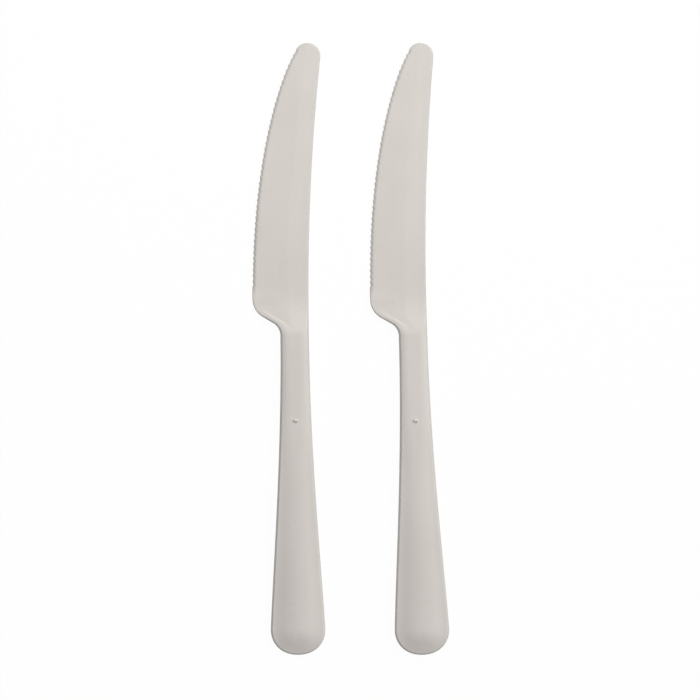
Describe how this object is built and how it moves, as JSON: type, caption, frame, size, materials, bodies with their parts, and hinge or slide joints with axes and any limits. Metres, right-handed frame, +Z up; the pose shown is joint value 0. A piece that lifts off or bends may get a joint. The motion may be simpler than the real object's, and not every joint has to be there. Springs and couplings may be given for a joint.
{
  "type": "plastic cutlery pack",
  "caption": "Disposable moulded plastic table knives lying side by side, each with a trough handle, narrow neck and saw-edged round-tipped blade.",
  "frame": {"origin": "middle of the pair's bounding box, on the table that both knives lie on", "axes": "+Y along the knives from handle to tip, +Z up from the table, so the saw edges face -X"},
  "size_m": [0.058, 0.18, 0.004],
  "materials": {
    "plastic": "satin, off-white with a slight grey-brown cast"
  },
  "bodies": {
    "root": {"knife_left": "plastic", "knife_right": "plastic"}
  },
  "joints": []
}
